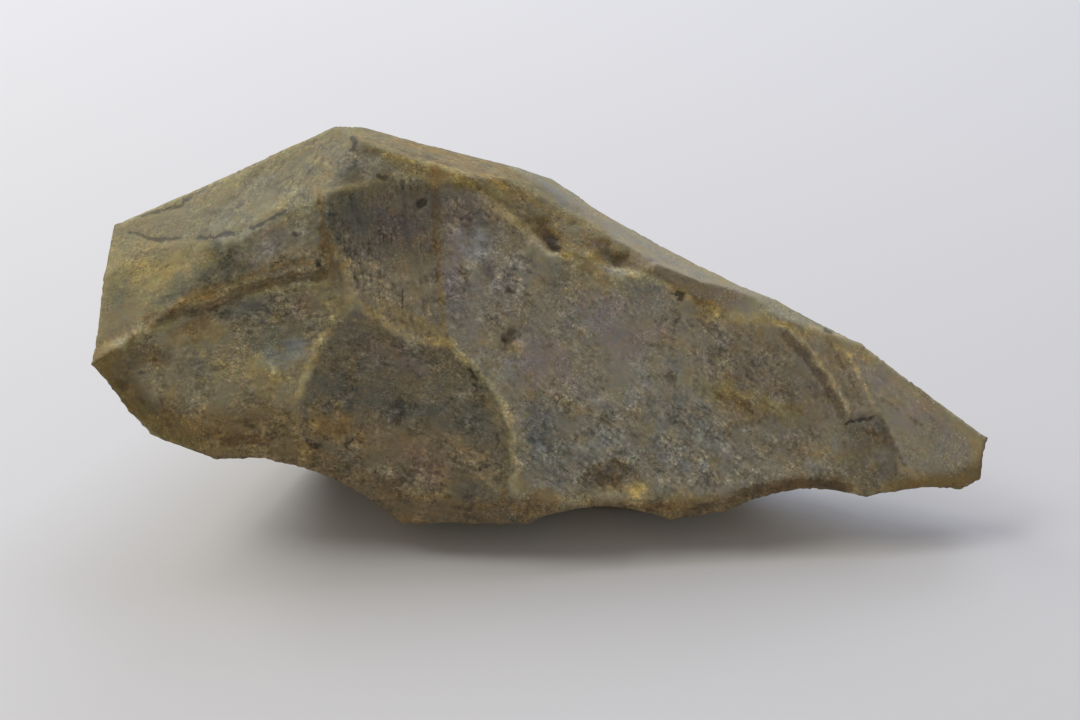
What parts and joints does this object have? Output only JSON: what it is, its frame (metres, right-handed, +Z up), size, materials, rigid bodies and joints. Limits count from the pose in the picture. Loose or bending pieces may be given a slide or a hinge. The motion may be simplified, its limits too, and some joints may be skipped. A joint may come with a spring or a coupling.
{
  "type": "stone hand axe",
  "caption": "Large knapped flint hand axe with a thick blunt butt, one long keeled crest and a flattened, squared-off tip; it lies on its underside.",
  "frame": {"origin": "under the middle of the stone's box, on the surface that it lies on", "axes": "+X from the butt to the tip, -Y toward the near cutting edge, +Z up"},
  "size_m": [0.2106, 0.089, 0.0847],
  "materials": {
    "flint": "worn, patinated, softly satin"
  },
  "bodies": {
    "root": {"hand_axe": "flint"}
  },
  "joints": []
}
